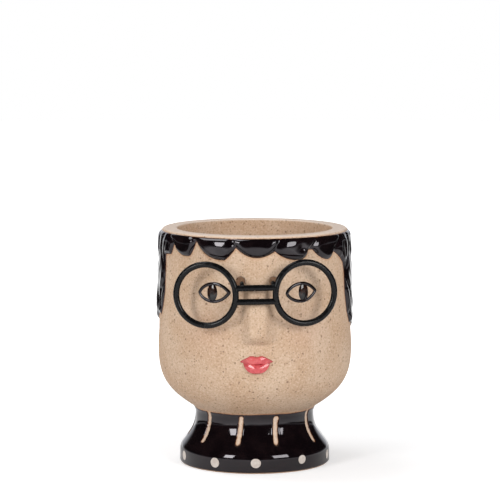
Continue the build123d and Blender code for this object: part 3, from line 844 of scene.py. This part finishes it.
# %% Helper: a closed sheet in flat coordinates, wrapped and ready
def coat_piece(name, turns, heights, thickness, material, closed=False, seat=0.7, bury=0.25):
    """A coat that shows where its thickness is above 0, with its back sunk in the clay."""
    turn_grid, height_grid = np.meshgrid(turns, heights)
    under = relief(turn_grid, height_grid)
    rows, columns = turn_grid.shape
    number = np.arange(rows * columns).reshape(rows, columns)
    ahead = np.roll(number, -1, axis=1) if closed else number[:, 1:]
    here = number if closed else number[:, :-1]
    cells = np.stack([here[:-1], ahead[:-1], ahead[1:], here[1:]], axis=-1).reshape(-1, 4)
    shown = (thickness > -bury).ravel()
    cells = cells[shown[cells].any(axis=1)]
    edges = np.vstack([cells[:, [first, (first + 1) % 4]] for first in range(4)])
    keys = edges[:, 0] * rows * columns + edges[:, 1]
    border = edges[~np.isin(keys, edges[:, 1] * rows * columns + edges[:, 0])]
    used, places = np.unique(cells, return_inverse=True)
    cells, border, count = places.reshape(-1, 4), np.searchsorted(used, border), len(used)
    proud = (under + thickness).ravel() * MM
    front = np.column_stack([turn_grid.ravel(), height_grid.ravel() * MM, proud])[used]
    back = front.copy()
    back[:, 2] = (under.ravel()[used] - seat) * MM
    sides = np.column_stack([border[:, 1], border[:, 0], border[:, 0] + count, border[:, 1] + count])
    faces = np.vstack([cells, cells[:, ::-1] + count, sides])
    piece = new_object(name, np.vstack([front, back]), faces.tolist())
    add_values(piece, "glaze_depth", np.tile(thickness.ravel()[used], 2))
    inputs = {"Radius Table": table, "Table Step": table_step * MM, "Material": material}
    return grow(piece, wrapped_coat, inputs)


def rounded_edge(distance, width, slope=2.2):
    """Share of the full thickness at a distance from the edge, falling below 0 outside it."""
    share = np.clip(distance / width, 0, 1)
    return np.where(distance < 0, slope * distance / width, 1 - (1 - share) ** slope)


# %% [markdown]
# ## Black coat of the neck and foot
# The coat is a third of a millimetre thick. Molten glaze draws back from a bare edge and stands in a
# rounded bead beside it, so the thickness rises quickly from the edge and ends a touch fuller there.

# %% The neck's coat
coat_thickness, coat_edge, coat_buried = 0.36, 0.75, -0.35
bead_rise, bead_place, bead_width, coat_waver = 0.07, 0.9, 0.6, 0.02
neck_turns = np.linspace(-math.pi, math.pi, 500, endpoint=False)
neck_heights = np.unique(np.concatenate([np.arange(0.2, 10.8, 0.55), np.arange(10.8, 33.3, 0.42)]))
turn_grid, height_grid = np.meshgrid(neck_turns, neck_heights)
gap = neck_distance(turn_grid, height_grid)
coat_depth = coat_thickness * rounded_edge(gap, coat_edge)
coat_depth = np.maximum(coat_depth + bead_rise * bell(gap, bead_place, bead_width), coat_buried)
coat_depth = coat_depth + coat_waver * np.sin(4 * turn_grid + height_grid / 3)
neck_coat = coat_piece("neck_coat", neck_turns, neck_heights, coat_depth, black_glaze, closed=True)
hand_over(neck_coat, "neck_glaze")

# %% [markdown]
# ## Dots round the foot
# The dots are ten drops of the same size that a brush set round the band. They repeat, so a tree
# places one flat drop on ten points, each with its own angle, height and size, and a little chance.

# %% Geometry Nodes: drops set round the foot
drop_sockets = {"Band Radius": "Float", "Drop Radius": "Float", "Drop Depth": "Float", "Seed": "Int"}
foot_drops, given, output = geometry_tree("foot_drops", drop_sockets)


def named(tree, name):
    """A number that the points carry."""
    return signal(tree, "GeometryNodeInputNamedAttribute", {"Name": name}, data_type="FLOAT")


angle, size = named(foot_drops, "angle"), named(foot_drops, "size")
spread = moved(given["Geometry"], place_round(given["Band Radius"], angle, named(foot_drops, "rise")))
ball = signal(foot_drops, "GeometryNodeMeshUVSphere", {"Segments": 40, "Rings": 20, "Radius": 1.0})
squash = {0: given["Drop Radius"], 1: given["Drop Depth"], 2: given["Drop Radius"]}
squashed = signal(foot_drops, "ShaderNodeCombineXYZ", squash)
drop = signal(foot_drops, "GeometryNodeTransform", {"Geometry": ball, "Scale": squashed})
facing = signal(foot_drops, "ShaderNodeCombineXYZ", {2: angle})
# Sockets 2 and 3 are the least and the most that chance may draw
draw = {2: 0.96, 3: 1.04, "Seed": given["Seed"]}
chance = signal(foot_drops, "FunctionNodeRandomValue", draw, 1, data_type="FLOAT")
own_scale = signal(foot_drops, "ShaderNodeCombineXYZ", {0: size * chance, 1: 1.0, 2: size})
copies = {"Points": spread, "Instance": drop, "Rotation": facing, "Scale": own_scale}
end_tree(signal(foot_drops, "GeometryNodeInstanceOnPoints", copies), given, output)

# %% Ten drops
# Angle, height and size share of each drop
drops = (
    (-0.6, 6.05, 1.04), (37.0, 6.60, 0.98), (73.5, 5.23, 0.96), (107.0, 6.24, 1.00), (144.5, 5.64, 1.04),
    (182.0, 6.53, 0.98), (214.5, 5.35, 1.02), (253.0, 5.94, 0.96), (289.0, 5.23, 1.00), (327.0, 5.25, 1.02),
)
drop_proud, drop_radius, drop_depth, drop_seed = 0.32, 2.62, 0.24, 4
foot_spots = new_object("foot_spots", [(0, 0, place * MM) for place in range(len(drops))])
add_values(foot_spots, "angle", [math.radians(drop[0]) for drop in drops])
add_values(foot_spots, "rise", [drop[1] * MM for drop in drops])
add_values(foot_spots, "size", [drop[2] for drop in drops])
sizes = {"Band Radius": foot_radius + drop_proud, "Drop Radius": drop_radius, "Drop Depth": drop_depth}
sizes = {label: value * MM for label, value in sizes.items()}
grow(foot_spots, foot_drops, {**sizes, "Seed": drop_seed, "Material": white_glaze})
points, _, reach, height = points_of(foot_spots)
points[:, :2] *= (1 + (surface_radius(height) - foot_radius) / reach)[:, None]
set_points(foot_spots, points)
hand_over(foot_spots, "foot_dots")

# %% [markdown]
# ## Hair
# The hair is modelled in clay under the black glaze. Seams part it into locks. On the fringe each
# seam runs up from a notch and leans outward. Round the sides and back the seams swing to and fro,
# each against its neighbour, so the locks swell and pinch in turn like twisted wisps. Across a
# lock the hair is crowned, steeper on one flank, with fine strands along it.

# %% Seams between the locks
# Fringe seams: angle and height of the notch, and lean up to the rim in degrees
fringe_seams = (
    (-58.6, 123.4, -8.0), (-38.9, 126.3, -9.0), (-12.7, 123.8, -5.0),
    (10.4, 121.9, 4.0), (34.0, 122.0, 6.0), (53.8, 119.6, 8.0),
)
seam_swing, seam_wave, seam_sway, wave_start = 4.4, 31.0, 1.6, 83.0
side_seams = [lock_start + (place - 0.5) * lock_pitch for place in range(lock_count + 1)]


def seam_angles(height):
    """Angles of all seams at one height, from -180 to 180 degrees and a little beyond."""
    rows = [angle + lean * float(smooth(height, foot, 131.0)) for angle, foot, lean in fringe_seams]
    phase = math.tau * (height - wave_start) / seam_wave
    for place, angle in enumerate(side_seams):
        swing = seam_swing * math.sin(phase) * (-1) ** place + seam_sway * math.sin(phase / 2 + place)
        rows += [angle + swing, angle + swing - 360]
    return np.sort([row for row in rows if -200 < row < 200])


# %% Relief of the hair, row by row
hair_relief, seam_relief, crown_power, widest_crown = 1.95, 0.6, 2.2, 11.0
# Share of the relief that every lock has, share that a lock of the full width adds, and that width
crest_share, crest_growth, full_width = 0.64, 0.31, 13.2
# Share of a lock's width that its left flank takes: on the fringe, on even and on odd locks
fringe_flank, even_flank, odd_flank = 0.62, 0.40, 0.60
strand_depth, strand_rise, strand_count, fringe_strands = 0.085, 14.0, 3, 0.3
# The fringe thins towards its tips, for each millimetre below its fullest height
fringe_angle, fringe_height, fringe_thinning = 60, 124.5, 0.09
# All hair thins towards the rim
taper_start, taper_rise, taper_share, taper_power = 123.6, 5.0, 0.38, 2.3
wisp_angle, wisp_share, wisp_wave, wisp_rise = 62, 0.78, 0.05, 15.5
# Dent pressed into the right lock of the fringe: angle, height, half sizes and depth
dent_angle, dent_height, dent_width, dent_tall, dent_depth = 27.6, 124.0, 2.8, 2.4, 0.70
hair_edge_width, hair_edge_slope, hair_top, top_edge_width, top_edge_slope = 2.7, 1.6, 128.8, 1.6, 1.4
hand_depth, hair_top_waver = 0.06, 0.12


def flank(distance, width):
    """Rise of a lock's crown from a seam, over the width of its flank."""
    return 1 - (1 - np.clip(distance / width, 0, 1)) ** crown_power


def hair_depth(turns, heights, gap):
    """Thickness of the hair over the clay."""
    depth = np.empty((len(heights), len(turns)))
    angles = np.degrees(turns)
    front = np.abs(angles) < fringe_angle
    for row, height in enumerate(heights):
        seams = seam_angles(height)
        left = np.searchsorted(seams, angles) - 1
        from_left, to_right = (angles - seams[left]) * degree, (seams[left + 1] - angles) * degree
        width = from_left + to_right
        span = np.minimum(width, widest_crown)
        lean = np.where(front, fringe_flank, np.where(left % 2 == 0, even_flank, odd_flank))
        crown = np.minimum(flank(from_left, lean * span), flank(to_right, (1 - lean) * span))
        strands = strand_count * from_left / width + np.sign(angles) * height / strand_rise
        fine = np.where(front, fringe_strands, 1.0) * strand_depth * np.cos(math.tau * strands) * crown
        crest = hair_relief * (crest_share + crest_growth * np.clip(width / full_width, 0, 1.5))
        crest = crest - np.where(front, fringe_thinning * np.clip(fringe_height - height, 0, 8), 0)
        wisp = wisp_share + wisp_wave * np.sin(math.tau * height / wisp_rise + 2.1 * left)
        crest = crest * np.where(np.abs(angles) > wisp_angle, wisp, 1.0)
        taper = 1 - taper_share * np.clip((height - taper_start) / taper_rise, 0, 1) ** taper_power
        depth[row] = (seam_relief + (crest - seam_relief) * crown + fine) * taper
    turn_grid, height_grid = np.meshgrid(turns, heights)
    hand = np.sin(23 * turn_grid + height_grid / 1.7) * np.sin(height_grid / 2.3 + 5 * turn_grid)
    dent = ((np.degrees(turn_grid) - dent_angle) * degree / dent_width) ** 2
    dent = dent + ((height_grid - dent_height) / dent_tall) ** 2
    depth = depth + hand_depth * hand - dent_depth * np.exp(-dent)
    top_gap = hair_top + hair_top_waver * np.sin(5 * turn_grid) - height_grid
    depth = depth * np.clip(rounded_edge(gap, hair_edge_width), 0, 1)
    depth = depth * np.clip(rounded_edge(top_gap, top_edge_width), 0, 1)
    low_cut, top_cut = hair_edge_slope * gap, top_edge_slope * top_gap
    return np.minimum(depth, np.minimum(np.where(gap < 0, low_cut, 9), np.where(top_gap < 0, top_cut, 9)))


# %% The hair
hair_turns = np.linspace(-math.pi, math.pi, 560, endpoint=False)
hair_heights = np.arange(69.5, 129.3, 0.56)
hair_thickness = hair_depth(hair_turns, hair_heights, edge_distance(*np.meshgrid(hair_turns, hair_heights)))
hair_seat = {"closed": True, "seat": 0.6, "bury": 0.3}
hair_locks = coat_piece("hair_locks", hair_turns, hair_heights, hair_thickness, black_glaze, **hair_seat)
hand_over(hair_locks, "hair")

# %% [markdown]
# ## Eyes
# Each eye is an almond drawn with a loaded brush: a raised line of black glaze, rounder at its left
# end. A line follows a path, so a tree sweeps a round section along it, as thick as the path says.
# The iris is a coat piece, domed and brown with a black edge.

# %% Geometry Nodes: a raised line drawn along a path
drawn_line, given, output = geometry_tree("drawn_line", {"Sides": "Int"})
stroke = signal(drawn_line, "GeometryNodeMeshToCurve", {0: given["Geometry"]})
circle = {"Resolution": given["Sides"], "Radius": 1.0}
section = signal(drawn_line, "GeometryNodeCurvePrimitiveCircle", circle)
sweep = {"Curve": stroke, "Profile Curve": section, "Scale": named(drawn_line, "half_width")}
end_tree(signal(drawn_line, "GeometryNodeCurveToMesh", sweep), given, output)

# %% Eye lines
eye_angle, eye_turn, eye_height, eye_tilt = 26.7, 0.65, 99.7, 2.0
eye_half_length, eye_half_rise = 8.7, 4.75
left_power, right_power = 0.66, 0.88
line_half_width, tip_gain, lid_gain, line_sink = 0.95, 0.08, 0.05, 0.36
both_eyes = (("left", -1), ("right", 1))


def on_face(angle, across, height, lift):
    """Point of the face, in metres, at a distance across from an angle, lifted off the skin."""
    skin = surface_radius(height)
    turn = math.radians(angle) + np.arcsin(np.clip(across / skin, -1, 1))
    reach = skin + relief(turn, height) + lift
    return np.column_stack([reach * np.sin(turn), -reach * np.cos(turn), height]) * MM


def eye_path(count=96):
    """The almond's centre line, rounder at its left end than at its right end, and its half width."""
    t = np.linspace(0, math.tau, count, endpoint=False)
    across = eye_half_length * np.cos(t)
    power = np.where(across > 0, right_power, left_power)
    rise = eye_half_rise * np.sign(np.sin(t)) * np.clip(1 - (across / eye_half_length) ** 2, 0, 1) ** power
    half_width = line_half_width + tip_gain * np.clip(across / eye_half_length, 0, 1) ** 6
    half_width = half_width + lid_gain * (np.sin(t) > 0)
    cos, sin = math.cos(math.radians(eye_tilt)), math.sin(math.radians(eye_tilt))
    return across * cos - rise * sin, across * sin + rise * cos, half_width


across, rise, half_width = eye_path()
loop = [(place, (place + 1) % len(across)) for place in range(len(across))]
for name, side in both_eyes:
    path_points = on_face(side * eye_angle + eye_turn, across, eye_height + rise, -line_sink)
    outline = new_object(name + "_eye_outline", path_points, edges=loop)
    add_values(outline, "half_width", half_width * MM)
    add_values(outline, "glaze_depth", np.ones(len(path_points)))
    grow(outline, drawn_line, {"Sides": 16, "Material": black_glaze})
    hand_over(outline, name + "_eye_line")

# %% Irises
iris_half_width, iris_half_height, iris_shift, iris_dome, dome_power = 2.95, 4.85, 1.0, 0.72, 3.4
face_radius, sheet_half_width, sheet_half_height = 52.0, 3.4, 5.2
for name, side in both_eyes:
    middle = math.radians(side * eye_angle + eye_turn) + side * iris_shift / face_radius
    iris_turns = middle + np.linspace(-sheet_half_width, sheet_half_width, 46) / face_radius
    iris_heights = eye_height + np.linspace(-sheet_half_height, sheet_half_height, 66)
    turn_grid, height_grid = np.meshgrid(iris_turns, iris_heights)
    u, v = (turn_grid - middle) * face_radius / iris_half_width, (height_grid - eye_height) / iris_half_height
    dome = np.maximum(iris_dome * (1 - np.hypot(u, v) ** dome_power), -0.5)
    iris = coat_piece(name + "_iris_dome", iris_turns, iris_heights, dome, brown_glaze)
    _, turn, _, height = points_of(iris)
    u, v = (turn - middle) * face_radius / iris_half_width, (height - eye_height) / iris_half_height
    add_values(iris, "iris_place", np.column_stack([u, v, 0 * u]), "FLOAT_VECTOR")
    hand_over(iris, name + "_iris")

# %% [markdown]
# ## Lips
# Two soft swellings of clay under pink glaze. Their outlines are the same curves that the CAD
# solids have, and each lip rises from its outline like a cushion. They overlap by a hair where
# they meet, so that the parting is a crease in the glaze and no bare clay shows in it.

# %% Outlines of the lips
lip_height, lip_shift, lip_radius = 62.0, -0.35, 52.7
mouth_half, corner_rise, upper_rise, lower_fall, lower_half = 8.65, 1.4, 4.4, 5.4, 7.2
bow_peak, bow_rise, bow_width, bow_dip, dip_width = 0.38, 0.4, 0.18, 0.40, 0.15
upper_lap, lower_lap = 0.35, 0.15
steps = np.linspace(-1, 1, 41)
lower_share = (lower_half / mouth_half) ** 2
parting = corner_rise * steps**2
bow = corner_rise + (upper_rise - corner_rise) * (1 - np.abs(steps) ** 1.9) ** 0.9
bow = bow + bow_rise * bell(np.abs(steps), bow_peak, bow_width) - bow_dip * bell(steps, 0, dip_width)
fall = -lower_fall * (1 - np.abs(steps) ** 2.6) ** 0.75 + corner_rise * lower_share * np.abs(steps) ** 6
there_and_back = np.append(steps, steps[::-1])
upper_outline = np.column_stack([there_and_back * mouth_half, np.append(parting - upper_lap, bow[::-1])])
lower_edge = np.append(fall, parting[::-1] * lower_share + lower_lap)
lower_outline = np.column_stack([there_and_back * lower_half, lower_edge])

# %% Lips
# Each lip: outline, fullness, width of its rounded edge, and height of its fullest line
lip_kinds = {"upper": (upper_outline, 1.9, 1.0, 1.6), "lower": (lower_outline, 2.6, 1.2, -2.9)}
cushion_base, cushion_middle, cushion_width, cushion_tall, edge_power = 0.3, 0.5, 4.8, 4.0, 1.9
lip_turns, lip_heights = np.linspace(-9.6, 9.6, 110) / lip_radius, lip_height + np.linspace(-6.4, 6.0, 74)
turn_grid, height_grid = np.meshgrid(lip_turns, lip_heights)
x, z = np.sin(turn_grid) * lip_radius - lip_shift, height_grid - lip_height
for name, (corners, fullness, width, middle) in lip_kinds.items():
    distance, within = line_distance(x, z, list(zip(corners, np.roll(corners, -1, axis=0))))
    gap = np.where(within, distance, -distance)
    cushion = fullness * (1 - ((z - middle) / cushion_tall) ** 2) * bell(x, cushion_middle, cushion_width)
    swell = np.minimum(cushion_base + cushion, fullness * rounded_edge(gap, width, edge_power))
    lip = coat_piece(name + "_lip_swell", lip_turns, lip_heights, np.maximum(swell, -0.6), pink_glaze)
    hand_over(lip, name + "_lip")

# %% [markdown]
# ## Glasses
# The wire work keeps its CAD solids: round rims, two bars with hollowed ends, and two hooks bent
# back into their holes. They only get their paint.

# %% Paint the wire
wires = ("left_rim", "right_rim", "upper_bridge", "lower_bridge", "left_hook", "right_hook")
for name in wires:
    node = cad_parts[name]
    node.data.materials.clear()
    node.data.materials.append(black_wire)
bpy.data.objects.remove(table)
print("painted the wire of", len(wires), "CAD nodes")
